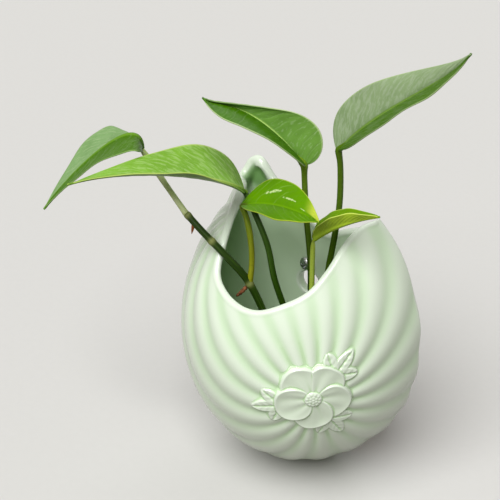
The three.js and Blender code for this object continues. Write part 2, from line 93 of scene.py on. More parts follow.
def spline(points, samples, closed=False):
    """Points along a centripetal Catmull-Rom curve."""
    p = np.asarray(points, float)
    if closed:
        p = np.concatenate([p[-1:], p, p[:2]])
    else:
        p = np.concatenate([2 * p[:1] - p[1:2], p, 2 * p[-1:] - p[-2:-1]])
    spans = len(p) - 3
    at = np.linspace(0, spans, samples, endpoint=not closed)
    i = np.minimum(at.astype(int), spans - 1)
    u = (at - i)[:, None]
    a, b, c, d = (p[i + k] for k in range(4))
    dab, dbc, dcd = (np.sqrt(length(y - x))[:, None] for x, y in ((a, b), (b, c), (c, d)))
    mb = dbc * ((b - a) / dab - (c - a) / (dab + dbc) + (c - b) / dbc)
    mc = dbc * ((c - b) / dbc - (d - b) / (dbc + dcd) + (d - c) / dcd)
    u2, u3 = u * u, u * u * u
    return (2 * u3 - 3 * u2 + 1) * b + (u3 - 2 * u2 + u) * mb + (3 * u2 - 2 * u3) * c + (u3 - u2) * mc


# Body: half an ellipsoid with a tall lip drawn up on its left
def top_of(x, y, inset):
    r = POT - inset
    return np.stack([x, y, r[2] * np.sqrt(1 - (x / r[0]) ** 2 - (y / r[1]) ** 2)], -1)


def front_of(x, z):
    depth = POT[1] * math.sqrt(1 - (x / POT[0]) ** 2 - (z / POT[2]) ** 2)
    return np.array([x, -depth, z])


def ellipsoid(q, radii):
    k0 = length(q / radii)
    k1 = length(q / radii**2)
    return k0 * (k0 - 1) / np.maximum(k1, 1e-9)


peak_foot = top_of(*PEAK_PLAN, 0.0)


def peak_rise(q):
    return PEAK_RISE * bell(length(q - peak_foot) / PEAK_SPREAD)


def lowered(p):
    """The points that the tall lip's rise brings to p."""
    q = p.copy()
    near = length(p - peak_foot) < PEAK_RISE + 3 * PEAK_SPREAD
    some = p[near]
    low = some.copy()
    for _ in range(PEAK_STEPS):
        low[:, 2] = some[:, 2] - peak_rise(low)
    q[near] = low
    return q


# Ribs: rays from the flower in a picture of the body seen from a point above the opening
RIB_COUNT = 20
RIB_RELIEF = 1.7
RIB_SUNK_SHARE = 0.78
RIB_VALLEY = 0.6
RIB_FADE = (0.0, 15.0)
RIB_GROWTH = (9.0, 19.8)
RIB_TOP = (-16.0, -34.0)
RIB_CROWDING = math.radians(20)
RIB_CROWDED_SIDE = math.radians(41)
RIB_TURN = math.radians(-6)
RIB_TURN_STEPS = 9
FLOWER_PLACE = (37.2, -6.0)

flower_centre = front_of(*FLOWER_PLACE)
pole = unit(top_of(*RIB_TOP, 0.0) / POT)
picture_x = unit(np.cross([0, 1, 0], pole))
picture_y = np.cross(pole, picture_x)


def to_picture(q):
    return flattened(unit(q / POT), -pole, picture_x, picture_y)


rib_start = to_picture(flower_centre[None])[0]


def rib_ridge(q):
    """The ribs' section at each point, from 0 in a groove to 1 on a crest, and how far they have grown."""
    ray = to_picture(q) - rib_start
    angle = np.arctan2(ray[:, 1], ray[:, 0])
    turn = angle - RIB_TURN
    for _ in range(RIB_TURN_STEPS):
        turn = angle - RIB_TURN - RIB_CROWDING * np.cos(turn - RIB_CROWDED_SIDE)
    wave = np.sin(RIB_COUNT * turn / 2)
    ridge = np.sqrt(wave * wave + RIB_VALLEY**2) / math.sqrt(1 + RIB_VALLEY**2)
    grown = smoothstep(length(q - flower_centre), *RIB_GROWTH)
    return ridge, grown


# Rim: the edge of the opening, along the middle of the wall, in shares of the pot's sizes
FRONT_LIP = np.array([
    [-0.605, -0.085], [-0.53, -0.19], [-0.462, -0.335], [-0.41, -0.452], [-0.348, -0.603], [-0.273, -0.77],
    [-0.134, -0.846], [0.036, -0.874], [0.17, -0.857], [0.304, -0.796], [0.452, -0.667], [0.507, -0.53],
    [0.52, -0.33], [0.536, -0.16], [0.562, -0.055],
])
BACK_LIP = np.array([
    [0.472, 0.715], [0.309, 0.656], [0.146, 0.598], [0, 0.66], [-0.13, 0.732], [-0.25, 0.79], [-0.37, 0.81],
    [-0.495, 0.827], [-0.585, 0.8],
])
RIM_RADIUS = 1.5
RIM_SUNK = 0.2
RIM_WALL = 3.4
RIM_TAPER = (14.0, 2.0)
THIN_RADIUS = 1.75
THIN_WALL = 2.4
THIN_PLACE = np.array([-33.0, -5.0, 71.0])
THIN_REACH = (34.0, 10.0)
RIM_SAMPLES = 480
RIM_NEAR = 14.0
RIM_ROUGH_STEP = 8
NEAREST_AT_ONCE = 20000
BACK_RIM_WAY = np.array([0.0, 1.0, 0.7])
BACK_LIP_SLOPE = 0.85
MOUTH_FOCUS = np.array([0.0, -0.36, 0.21]) * POT
SLOT_BLEND = (-6.5, -4.0)
SLOT_LEFT = (-36.0, -24.0)
TONGUE_SIDE = np.array([-38.5, -7.0, 68.0])
TONGUE_BULGE = 1.5
TONGUE_REACH = 6.5
TONGUE_BLEND = 2.6
# Where the painted shade inside the tall lip's hollow lies, and how far it reaches.
HOLLOW_SHADE_AT = np.array([-31.5, -3.0, 66.5])
HOLLOW_SHADE_REACH = (10.0, 3.0)


def thin_share(p):
    """How far the clay is thinned, from 0 over most of the pot to 1 at the tall lip's tip."""
    return smoothstep(length(p - THIN_PLACE), *THIN_REACH)


def rim_radius(p):
    return RIM_RADIUS + (THIN_RADIUS - RIM_RADIUS) * thin_share(p)


def rim_spare(p):
    """How far the rim's line lies outside the middle of the wall, as a column."""
    return (WALL / 2 - RIM_SUNK - rim_radius(p))[:, None]


def rim_stations():
    x, y = (FRONT_LIP * POT[:2]).T
    front = top_of(x, y, WALL / 2)
    front = front + unit(front / POT**2) * rim_spare(front)
    back = np.insert(BACK_LIP * POT[[0, 2]], 1, -WALL / 2, axis=1)
    back = back + BACK_RIM_WAY * rim_spare(back)
    points = np.concatenate([front, back])
    points[:, 2] += peak_rise(points)
    return points


rim_points = rim_stations()
rim_line = spline(rim_points, RIM_SAMPLES, closed=True)
mouth_axis = unit(rim_line.mean(0) - MOUTH_FOCUS)
mouth_right = unit(np.cross(mouth_axis, [0, 1, 0]))
mouth_up = np.cross(mouth_axis, mouth_right)


def mouth_picture(p):
    """The directions from the focus to the points, laid flat round the opening's axis."""
    return flattened(unit(p - MOUTH_FOCUS), mouth_axis, mouth_right, mouth_up)


rim_flat = mouth_picture(rim_line)
rim_along = unit(np.roll(rim_flat, -1, 0) - np.roll(rim_flat, 1, 0))
rim_inward = np.stack([-rim_along[:, 1], rim_along[:, 0]], -1)
if (rim_inward * (rim_flat.mean(0) - rim_flat)).sum() < 0:
    rim_inward = -rim_inward
back_line = rim_line[RIM_SAMPLES * (len(FRONT_LIP) - 1) // len(rim_points):
                     RIM_SAMPLES * (len(rim_points) - 1) // len(rim_points) + 1]


def nearest(places, line):
    """The nearest sample of a line for each place, and its distance."""
    best = np.empty(len(places), int)
    square = (line**2).sum(-1)
    for start in range(0, len(places), NEAREST_AT_ONCE):
        part = slice(start, start + NEAREST_AT_ONCE)
        best[part] = (square - 2 * places[part] @ line.T).argmin(1)
    return best, length(places - line[best])


def rim_gap(p):
    """Distance to the rim's line, true near it and rough far from it."""
    _, gap = nearest(p, rim_line[::RIM_ROUGH_STEP])
    close = gap < RIM_NEAR
    _, gap[close] = nearest(p[close], rim_line)
    return gap


def mouth_depth(p):
    """How far each point lies inside the opening, below zero outside it."""
    x, y, z = p.T
    flat = mouth_picture(p)
    best, _ = nearest(flat, rim_flat)
    cone = ((flat - rim_flat[best]) * rim_inward[best]).sum(-1)
    cone = cone * length(p - MOUTH_FOCUS) * 2 / (1 + (flat**2).sum(-1))
    lip_x, _, lip_z = back_line[np.argsort(back_line[:, 0])].T
    sides = np.minimum(x - lip_x[0], lip_x[-1] - x)
    slot = np.minimum(BACK_LIP_SLOPE * (z - np.interp(x, lip_x, lip_z)), sides)
    share = smoothstep(y, *SLOT_BLEND) * smoothstep(x, *SLOT_LEFT)
    return (1 - share) * cone + share * slot


# Flower: relief heights over the body, in the plane that touches it at the flower's centre. Each petal
# has its turn and the lift of its clockwise and anticlockwise side over its neighbours.
PETALS = ((56, -0.5, 0.1), (128, -0.1, -0.5), (200, 0.7, 0.7), (272, -0.5, 0.6), (344, -0.5, 0.6))
PETAL_REACH = 9.4
PETAL_HALF = (9.3, 10.0)
PETAL_FLOOR = 1.1
PETAL_CUP = 1.25
INNER_CUP = 0.25
PETAL_WAVE = 0.025
PETAL_WAVES = 4
PETAL_EDGE = (0.88, 1.09)
PETAL_LAP = (0.1, 1.2)
CREASE = 0.14
CREASES = 11
CREASE_ROOT = 2.0
CREASE_SPAN = (0.95, 0.45)
LIFTED = 0.3
BOSS_RADIUS = 4.2
BOSS_HEIGHT = 2.2
BOSS_FALL = 0.25
BOSS_EDGE = (0.9, 1.12)
DOT_HEIGHT = 0.3
DOT_RADIUS = 0.55
BOSS_DOTS = ((0.0, 1), (1.55, 6), (3.0, 11))
SPRIG_TURNS = [math.radians(a) for a in (51, 196, -58)]
SPRIG_REACH = 15.0
LEAFLET_LENGTHS = (11.5, 14.0, 11.5)
LEAFLET_SPLAY = math.radians(56)
LEAFLET_WIDTH = 9.4
LEAFLET_RISE = 1.3
LEAFLET_EDGE = (-1.1, 0.9)
LEAFLET_GROOVE = 0.45
LEAFLET_GROOVE_WIDTH = 0.55
SIDE_VEIN = 0.1
SIDE_VEIN_PITCH = 3.0
UNDER = -1.5

flower_out = unit(flower_centre / POT**2)
flower_right = unit(np.cross([0, 0, 1], flower_out))
flower_up = np.cross(flower_out, flower_right)


def petal_height(right, up, turn, lifts):
    along = right * math.cos(turn) + up * math.sin(turn)
    across = -right * math.sin(turn) + up * math.cos(turn)
    ahead = along - PETAL_REACH
    angle = np.arctan2(across, ahead)
    wavy = 1 + PETAL_WAVE * np.cos(PETAL_WAVES * angle + 3 * turn)
    share = np.hypot(ahead / PETAL_HALF[0], across / PETAL_HALF[1]) / wavy
    inner = np.clip(share, 0, 1)
    sideways = np.sin(angle)
    side = np.abs(sideways) ** 1.5 * inner**2
    lift = np.where(sideways < 0, *lifts) * side
    outer = 0.5 + 0.5 * np.cos(angle)
    cup = PETAL_FLOOR + PETAL_CUP * inner**3 * (INNER_CUP + (1 - INNER_CUP) * outer)
    fan = np.arctan2(across, along + CREASE_ROOT)
    crease = CREASE * np.cos(CREASES * fan) * smoothstep(share, *CREASE_SPAN)
    lean = np.arctan2(across, along)
    lifted = np.where(lean < 0, *lifts) > LIFTED
    over = np.where(lifted, -1.0, (np.abs(lean) - math.pi / len(PETALS)) * np.hypot(along, across))
    fall = np.maximum(smoothstep(share, *PETAL_EDGE), smoothstep(over, *PETAL_LAP))
    return (cup + lift + crease) * (1 - fall) + UNDER * fall


def boss_height(right, up):
    share = np.hypot(right, up) / BOSS_RADIUS
    dome = BOSS_HEIGHT * (1 - BOSS_FALL * np.clip(share, 0, 1) ** 2)
    for ring, count in BOSS_DOTS:
        for k in range(count):
            angle = 2 * math.pi * k / count + ring
            gap = np.hypot(right - ring * math.cos(angle), up - ring * math.sin(angle))
            dome = dome + DOT_HEIGHT * bell(gap / DOT_RADIUS)
    fall = smoothstep(share, *BOSS_EDGE)
    return dome * (1 - fall) + UNDER * fall


def leaflet_height(right, up, base, turn, reach):
    x, y = right - base[0], up - base[1]
    along = x * math.cos(turn) + y * math.sin(turn)
    across = -x * math.sin(turn) + y * math.cos(turn)
    t = np.clip(along / reach, 1e-3, 1 - 1e-3)
    half = LEAFLET_WIDTH * t**0.6 * (1 - t) ** 0.68
    share = np.clip(np.abs(across) / np.maximum(half, 0.05), 0, 1)
    outside = np.maximum(np.abs(across) - half, np.maximum(-along, along - reach))
    vein = LEAFLET_GROOVE * bell(across / LEAFLET_GROOVE_WIDTH) * smoothstep(t, 1.0, 0.8)
    turns = (along - 0.8 * np.abs(across)) / SIDE_VEIN_PITCH
    side = SIDE_VEIN * np.cos(2 * math.pi * turns) * (1 - share)
    crown = LEAFLET_RISE * (1 - 0.2 * t) * (0.8 + 0.2 * share) - vein + side
    fall = smoothstep(outside, *LEAFLET_EDGE)
    return crown * (1 - fall) + UNDER * fall


def flower_height(right, up):
    height = np.full(right.shape, UNDER)
    for turn in SPRIG_TURNS:
        base = (SPRIG_REACH * math.cos(turn), SPRIG_REACH * math.sin(turn))
        for splay, reach in zip((-LEAFLET_SPLAY, 0.0, LEAFLET_SPLAY), LEAFLET_LENGTHS):
            height = np.maximum(height, leaflet_height(right, up, base, turn + splay, reach))
    for turn, *lifts in PETALS:
        height = np.maximum(height, petal_height(right, up, math.radians(turn), lifts))
    return np.maximum(height, boss_height(right, up))


def flower_relief(p):
    """Which points lie near the flower, and its height over the body at those."""
    offset = p - flower_centre
    near = length(offset) < FLOWER_SPREAD
    return near, flower_height(offset[near] @ flower_right, offset[near] @ flower_up)


# The whole pot: its keyhole, and how its forms blend
FLOWER_SPREAD = 31.0
KEYHOLE_DROP = 11.5
KEYHOLE_RADIUS = 6.0
SLOT_RADIUS = 2.05
CAVITY_FILLET = 3.0
FLOWER_BLEND = 0.8
EDGE_BLEND = 1.2
SHARP_BLEND = 0.5


def keyhole_gap(p):
    x, _, z = (p - SCREW).T
    slot = np.hypot(x, z - np.clip(z, -KEYHOLE_DROP, 0)) - SLOT_RADIUS
    return np.minimum(slot, np.hypot(x, z + KEYHOLE_DROP) - KEYHOLE_RADIUS)


def plain_shell(p, q):
    """Distance to the shell with no ribs, rim or opening, for choosing where to look closer."""
    cavity = np.maximum(ellipsoid(q, POT - WALL), p[:, 1] + WALL)
    return np.maximum(np.maximum(ellipsoid(q, POT), p[:, 1]), -cavity)


def pot_field(p):
    """Signed distance to the pot's surface, in millimetres, below zero in the clay."""
    q = lowered(p)
    body = ellipsoid(q, POT)
    high = p[:, 2] > MOUTH_FOCUS[2]
    gap = np.full(len(p), RIM_NEAR * 2)
    gap[high] = rim_gap(p[high])
    ridge, grown = rib_ridge(q)
    skin = body - RIB_RELIEF * grown * (ridge - RIB_SUNK_SHARE) * smoothstep(gap, *RIB_FADE)
    skin = skin - TONGUE_BULGE * bell(length(p - TONGUE_SIDE) / TONGUE_REACH)
    near, height = flower_relief(p)
    skin[near] = smooth_min(skin[near], body[near] - height, FLOWER_BLEND)
    thin = thin_share(p)
    wall = WALL + (RIM_WALL - WALL) * smoothstep(gap, *RIM_TAPER)
    wall = wall + (THIN_WALL - wall) * thin
    cavity = smooth_max(ellipsoid(q, POT - WALL) + wall - WALL, p[:, 1] + wall, CAVITY_FILLET)
    clay = smooth_max(skin, -cavity, SHARP_BLEND)
    cut = smooth_max(clay[high], mouth_depth(p[high]), EDGE_BLEND)
    rim = gap[high] - rim_radius(p[high])
    clay[high] = smooth_min(cut, rim, EDGE_BLEND + TONGUE_BLEND * thin[high])
    clay = smooth_max(clay, p[:, 1], EDGE_BLEND)
    back_hole = np.maximum(keyhole_gap(p), -(p[:, 1] + 3 * WALL))
    return smooth_max(clay, -back_hole, SHARP_BLEND)


GRID_STEP = 0.5
GRID_LOW = np.array([-64.0, -75.0, -79.5])
GRID_HIGH = np.array([64.0, 2.0, 84.0])
BAND = 5.0
FITTING_ROUNDS = 2
SLOPE_REACH = 0.06
SLOPE_LEAST = 0.2
STEP_MOST = 0.5


def pot_mesh():
    """Points and quads of the pot's surface."""
    axes = [np.arange(low, high, GRID_STEP) for low, high in zip(GRID_LOW, GRID_HIGH)]
    values = np.empty([len(a) for a in axes], np.float32)
    for i, x in enumerate(axes[0]):
        y, z = np.meshgrid(axes[1], axes[2], indexing="ij")
        p = np.stack([np.full(y.size, x), y.ravel(), z.ravel()], -1)
        rough = plain_shell(p, lowered(p))
        level = np.clip(rough, -BAND, BAND)
        close = np.abs(rough) < BAND
        level[close] = pot_field(p[close])
        values[i] = level.reshape(y.shape)
    grid = openvdb.FloatGrid(BAND)
    grid.copyFromArray(values)
    points, quads = grid.convertToQuads(0.0)
    return points * GRID_STEP + GRID_LOW, quads


def onto_pot(p):
    """The points moved onto the pot's surface along its slope."""
    reaches = np.eye(3) * SLOPE_REACH
    for _ in range(FITTING_ROUNDS):
        rises = [pot_field(p + reach) - pot_field(p - reach) for reach in reaches]
        slope = np.stack(rises, -1) / (2 * SLOPE_REACH)
        step = slope * (pot_field(p) / np.maximum((slope**2).sum(-1), SLOPE_LEAST))[:, None]
        p = p - step / np.maximum(length(step) / STEP_MOST, 1)[:, None]
    return p


# Objects
def to_scene(points):
    return (np.asarray(points, float) + TO_PART) * MM


def placed(name, data):
    made = bpy.data.objects.new(name, data)
    bpy.context.scene.collection.objects.link(made)
    return made


def mesh_object(name, points, faces, material):
    mesh = bpy.data.meshes.new(name)
    mesh.from_pydata([tuple(v) for v in points], [], [tuple(int(i) for i in f) for f in faces])
    mesh.update()
    mesh.polygons.foreach_set("use_smooth", np.ones(len(mesh.polygons), bool))
    mesh.materials.append(material)
    return placed(name, mesh)


@contextlib.contextmanager
def edited(mesh):
    """A mesh opened for editing, and written back afterwards."""
    bm = bmesh.new()
    bm.from_mesh(mesh)
    yield bm
    bm.to_mesh(mesh)
    bm.free()


def ring_faces(rings, sides):
    """Quads between each numbered ring of points and the next one in the list."""
    starts = np.array(rings)[:, None] * sides
    a, b = starts[:-1], starts[1:]
    side = np.arange(sides)
    after = np.roll(side, -1)
    return np.stack([a + side, a + after, b + after, b + side], -1).reshape(-1, 4).tolist()


def point_values(made, name, values):
    attribute = made.data.attributes.new(name, "FLOAT", "POINT")
    attribute.data.foreach_set("value", np.asarray(values, np.float32))


def dress(made, body, slot, *nodes):
    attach(made, body)
    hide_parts(*nodes)


# Materials
class Nodes:
    """Short calls for building the nodes of a material or a world."""

    def __init__(self, name, owners=bpy.data.materials, shader="Principled BSDF"):
        self.owner = owners.new(name)
        self.owner.use_nodes = True
        self.tree = self.owner.node_tree
        self.shader = self.tree.nodes[shader]

    def put(self, socket, value):
        if isinstance(value, bpy.types.NodeSocket):
            self.tree.links.new(value, socket)
        else:
            socket.default_value = value

    def fill(self, node, inputs):
        for name, value in inputs.items():
            self.put(node.inputs[name.replace("_", " ")], value)
        return node

    def node(self, kind, **inputs):
        return self.fill(self.tree.nodes.new(kind), inputs)

    def shade(self, **inputs):
        self.fill(self.shader, inputs)

    def feed(self, node, *values):
        """A node's first result, with values for its first inputs."""
        for socket, value in zip(node.inputs, values):
            self.put(socket, value)
        return node.outputs[0]

    def math(self, operation, *values):
        made = self.node("ShaderNodeMath")
        made.operation = operation
        return self.feed(made, *values)

    def times(self, a, b):
        return self.math("MULTIPLY", a, b)

    def span(self, value, low, high, to_low=0.0, to_high=1.0):
        made = self.node("ShaderNodeMapRange")
        made.interpolation_type = "SMOOTHSTEP"
        return self.feed(made, value, low, high, to_low, to_high)

    def mix(self, share, a, b):
        made = self.node("ShaderNodeMix")
        made.data_type = "RGBA"
        self.put(made.inputs["Factor"], share)
        self.put(made.inputs[6], a)
        self.put(made.inputs[7], b)
        return made.outputs[2]

    def attribute(self, name):
        made = self.node("ShaderNodeAttribute")
        made.attribute_name = name
        return made.outputs["Fac"]

    def place(self):
        return self.node("ShaderNodeTexCoord").outputs["Object"]

    def noise(self, where, scale, detail=3.0, roughness=0.55):
        made = self.node("ShaderNodeTexNoise", Vector=where, Scale=scale, Detail=detail, Roughness=roughness)
        return made.outputs["Fac"]

    def vector(self, x, y):
        return self.node("ShaderNodeCombineXYZ", X=x, Y=y).outputs[0]

    def bump(self, height, strength, distance):
        made = self.node("ShaderNodeBump", Height=height, Strength=strength, Distance=distance)
        self.put(self.shader.inputs["Normal"], made.outputs[0])


def tone(*seen):
    """A colour as it is seen, in the shader's linear values."""
    shares = [value / 255 for value in seen]
    linear = [s / 12.92 if s <= 0.04045 else ((s + 0.055) / 1.055) ** 2.4 for s in shares]
    return (*linear, 1.0)


def glaze_material():
    """Pale celadon: thin and whiter on crests, pooled and greener in hollows, painted shade in the tall
    lip's hollow, bare clay on the back.
    """
    n = Nodes("celadon_glaze")
    where = n.place()
    cavity = n.attribute("cavity")
    clouds = n.noise(where, 22.0, 2.0)
    deep = n.mix(n.span(clouds, 0.35, 0.65), tone(211, 235, 199), tone(217, 238, 206))
    base = n.mix(n.span(n.attribute("crest"), 0.5, 1.0), deep, tone(228, 241, 220))
    pooled = n.mix(n.span(cavity, 0.1, 1.0), base, tone(196, 224, 180))
    # Painted shade: the inside of the tall lip's hollow is darkened to a deep green.
    hollow = n.mix(n.times(n.attribute("hollow"), 0.85), pooled, tone(98, 152, 66))
    thin = n.mix(n.span(cavity, -0.1, -1.0), hollow, tone(230, 242, 223))
    bare = n.attribute("bare")
    grain = n.noise(where, 2600.0, 2.0)
    clay = n.mix(n.span(grain, 0.35, 0.65), tone(214, 205, 188), tone(228, 221, 206))
    n.shade(Base_Color=n.mix(bare, thin, clay), Coat_Weight=0.35, Coat_Roughness=0.06)
    n.shade(Roughness=n.math("MULTIPLY_ADD", bare, 0.5, n.span(clouds, 0.2, 0.8, 0.2, 0.28)))
    peel = n.noise(where, 420.0, 2.0)
    gritty = n.times(bare, 0.6)
    n.bump(n.math("MULTIPLY_ADD", grain, gritty, n.times(peel, 0.22)), 0.25, 0.0003)
    return n.owner


def leaf_material(name, shape):
    """Leaf skin: two halves, the paler one with a painted sheen, faint side veins, pale flecks along the
    veins, a midrib and a margin with a painted highlight.
    """
    far, near, rib, margin_highlight, fleck = (tone(*c) for c in shape["tones"])
    n = Nodes(name)
    across = n.attribute("across")
    along = n.attribute("along")
    where = n.place()
    off = n.math("ABSOLUTE", across)
    lean = n.math("SUBTRACT", along, n.times(n.math("POWER", off, VEIN_BOW), VEIN_LEAN))
    wander = n.times(n.noise(where, 60.0), 0.11)
    run = n.math("ADD", lean, wander)
    wave = n.math("ABSOLUTE", n.math("SINE", n.times(run, 36.0)))
    broken = n.span(n.noise(where, 75.0), 0.42, 0.6)
    vein = n.times(n.span(wave, 0.3, 0.0), broken)
    strip = n.vector(n.times(run, 30.0), n.times(across, 2.6))
    streak = n.noise(strip, 1.5, 4.0, 0.65)
    fine = n.noise(where, 700.0, 3.0)
    half = n.span(across, -0.02, 0.02)
    # Each half in its own tone; the paler half's tone holds a painted sheen.
    body = n.mix(half, far, near)
    shadow = n.mix(n.span(n.noise(where, 55.0), 0.35, 0.7, 0.0, 0.3), body, tone(58, 100, 4))
    flecked = shape["flecked"]
    flecks = n.span(streak, 1.02 - flecked, 1.14 - flecked)
    pale = n.mix(n.times(flecks, n.span(half, 0.0, 1.0, 0.5, 0.12)), shadow, fleck)
    # The margin's tone, with its painted highlight, also spreads over the far side toward the tip.
    if "flare" in shape:
        toward_tip = n.span(along, shape["flare"], shape["flare"] + 0.2)
        pale = n.mix(n.times(toward_tip, n.span(across, -0.1, -0.3)), pale, margin_highlight)
    for place, side, slope, reach, width in shape["strokes"]:
        ahead = n.math("SUBTRACT", along, place)
        u = n.math("DIVIDE", ahead, reach)
        v = n.math("SUBTRACT", n.math("SUBTRACT", across, side), n.times(ahead, slope))
        far_off = n.math("ADD", n.math("POWER", u, 2.0), n.math("POWER", n.math("DIVIDE", v, width), 2.0))
        ragged = n.math("ADD", far_off, n.span(n.noise(where, 900.0), 0.3, 0.7, -0.1, 0.9))
        pale = n.mix(n.span(ragged, 1.3, 0.5, 0.0, 0.8), pale, tone(216, 234, 168))
    veined = n.mix(n.times(vein, 0.16), pale, fleck)
    mottled = n.mix(n.times(fine, 0.14), veined, tone(44, 84, 2))
    ribbed = n.mix(n.times(n.span(off, 0.085, 0.03), 0.85), mottled, rib)
    # Painted highlight along the margin, where the edge catches the light.
    edged = n.mix(n.times(n.span(off, 0.95, 0.99), 0.7), ribbed, margin_highlight)
    n.shade(Base_Color=edged, Specular_IOR_Level=0.09)
    n.shade(Roughness=n.span(fine, 0.3, 0.7, 0.36, 0.48))
    relief = n.math("SUBTRACT", n.times(fine, 0.25), n.times(vein, 0.5))
    n.bump(relief, 0.3, 0.0004)
    return n.owner


def stem_material(name, piece):
    """Stem skin: one colour up to a share of the run, turning to another, with fine lengthwise lines. A
    darker foot is partly painted shade inside the pot.
    """
    low, high, light = (tone(*c) for c in piece["tones"])
    n = Nodes(name)
    along = n.attribute("along")
    around = n.attribute("around")
    knot = n.attribute("knot")
    where = n.place()
    lines = n.noise(n.vector(n.times(around, 9.0), n.times(along, 2.5)), 3.0, 3.0)
    spots = n.noise(where, 800.0, 2.0)
    # From the foot's tone to the top's; a darker foot is partly painted shade inside the pot.
    ramp = n.mix(n.span(along, piece["turns"], 1.0), low, high)
    lined = n.mix(n.times(n.span(lines, 0.45, 0.7), 0.55), ramp, light)
    spotted = n.mix(n.times(n.span(spots, 0.55, 0.75), 0.25), lined, tone(46, 52, 18))
    knotted = n.mix(knot, spotted, tone(166, 172, 104))
    n.shade(Base_Color=n.mix(n.attribute("dry"), knotted, tone(128, 72, 36)), Specular_IOR_Level=0.15)
    n.shade(Roughness=n.span(spots, 0.3, 0.7, 0.35, 0.49))
    n.bump(n.math("ADD", lines, n.times(spots, 0.4)), 0.3, 0.0003)
    return n.owner


# Plain skins: a grain's scale and detail, two tones, a range of roughness, and a bump's strength and depth
STEEL = dict(
    name="screw_steel", grain=(1500.0, 4.0), tones=[(186, 188, 190), (220, 221, 223)],
    rough=(0.24, 0.4), bump=(0.08, 0.0001), metallic=1.0)
NYLON = dict(
    name="plug_nylon", grain=(900.0, 3.0), tones=[(208, 208, 202), (224, 224, 218)],
    rough=(0.42, 0.58), bump=(0.15, 0.0001))
BARK = dict(
    name="root_bark", grain=(900.0, 4.0), tones=[(92, 48, 28), (156, 96, 58)],
    rough=(0.55, 0.8), bump=(0.5, 0.0004), contrast=(0.35, 0.65))


def plain_material(name, grain, tones, rough, bump, contrast=None, metallic=0.0):
    """A skin whose tone, gloss and surface all follow one grain."""
    n = Nodes(name)
    grains = n.noise(n.place(), *grain)
    share = n.span(grains, *contrast) if contrast else grains
    n.shade(Base_Color=n.mix(share, *(tone(*c) for c in tones)), Metallic=metallic)
    n.shade(Roughness=n.span(grains, 0.3, 0.7, *rough))
    n.bump(grains, *bump)
    return n.owner


# The pot
FLOWER_FINE = 29.0
HOLLOW_SMOOTHING = 14
HOLLOW_FULL = 0.1
FLOWER_CREST = 0.9
FLOWER_RAISED = (-0.3, 0.4)
PLAIN_CREST = 0.6
OUTER_SKIN = (-3.0, -1.5)
INNER_SKIN = (-1.2, -2.2)
BARE_DEPTH = (-0.35, -0.1)
BARE_FACING = (0.9, 0.97)
MELT_PLACE = np.array([-38.0, -5.5, 66.8])
MELT_REACH = (9.0, 3.0)
MELT_ROUNDS = 40


def mean_around(ends, values, count):
    """For each point, the mean of the values on the edges that leave it."""
    edges = np.maximum(np.bincount(ends[:, 0], minlength=count), 1)
    return np.bincount(ends[:, 0], values, count) / edges


def hollows(points, ends, normals):
    """How hollow the surface is at each point, from -1 on a crest to 1 in a groove."""
    way = points[ends[:, 1]] - points[ends[:, 0]]
    square = np.maximum((way**2).sum(-1), 1e-6)
    bend = mean_around(ends, (way * normals[ends[:, 0]]).sum(-1) / square, len(points))
    for _ in range(HOLLOW_SMOOTHING):
        bend = 0.5 * bend + 0.5 * mean_around(ends, bend[ends[:, 1]], len(points))
    return np.clip(bend / HOLLOW_FULL, -1, 1)


def melted(points, ends):
    """The points with the tall lip's left side evened out, as glaze runs over a small step."""
    share = 0.5 * smoothstep(length(points - MELT_PLACE), *MELT_REACH)[:, None]
    for _ in range(MELT_ROUNDS):
        around = [mean_around(ends, points[ends[:, 1], axis], len(points)) for axis in range(3)]
        points = points + share * (np.stack(around, -1) - points)
    return points


def read_out(items, field, width, kind=np.float32):
    """One field of all the items, as rows."""
    values = np.empty(width * len(items), kind)
    items.foreach_get(field, values)
    return values.reshape(-1, width)


def move_points(mesh, points):
    mesh.vertices.foreach_set("co", points.astype(np.float32).ravel())
    mesh.update()


def make_pot(material):
    points, quads = pot_mesh()
    pot = mesh_object("planter_shell_glazed", points, quads, material)
    middle = Vector(flower_centre)
    mesh = pot.data
    with edited(mesh) as bm:
        near = [e for e in bm.edges if (e.verts[0].co - middle).length < FLOWER_FINE]
        bmesh.ops.subdivide_edges(bm, edges=near, cuts=1, use_grid_fill=True)
        bmesh.ops.recalc_face_normals(bm, faces=bm.faces)
    edges = read_out(mesh.edges, "vertices", 2, np.int32)
    ends = np.concatenate([edges, edges[:, ::-1]])
    points = melted(onto_pot(read_out(mesh.vertices, "co", 3).astype(float)), ends)
    move_points(mesh, points)
    normals = read_out(mesh.vertex_normals, "vector", 3)
    point_values(pot, "cavity", hollows(points, ends, normals))
    plain = lowered(points)
    ridge, grown = rib_ridge(plain)
    depth = ellipsoid(plain, POT)
    crest = PLAIN_CREST + (ridge - PLAIN_CREST) * grown * smoothstep(depth, *OUTER_SKIN)
    near, height = flower_relief(points)
    crest[near] += (FLOWER_CREST - crest[near]) * smoothstep(height, *FLOWER_RAISED)
    point_values(pot, "crest", crest)
    inside = smoothstep(depth, *INNER_SKIN)
    # The share of painted shade inside the tall lip's hollow.
    point_values(pot, "hollow", inside * smoothstep(length(points - HOLLOW_SHADE_AT), *HOLLOW_SHADE_REACH))
    back = smoothstep(points[:, 1], *BARE_DEPTH) * smoothstep(normals[:, 1], *BARE_FACING)
    point_values(pot, "bare", back)
    move_points(mesh, to_scene(points))
    dress(pot, "planter", "celadon_glaze", "planter_shell")


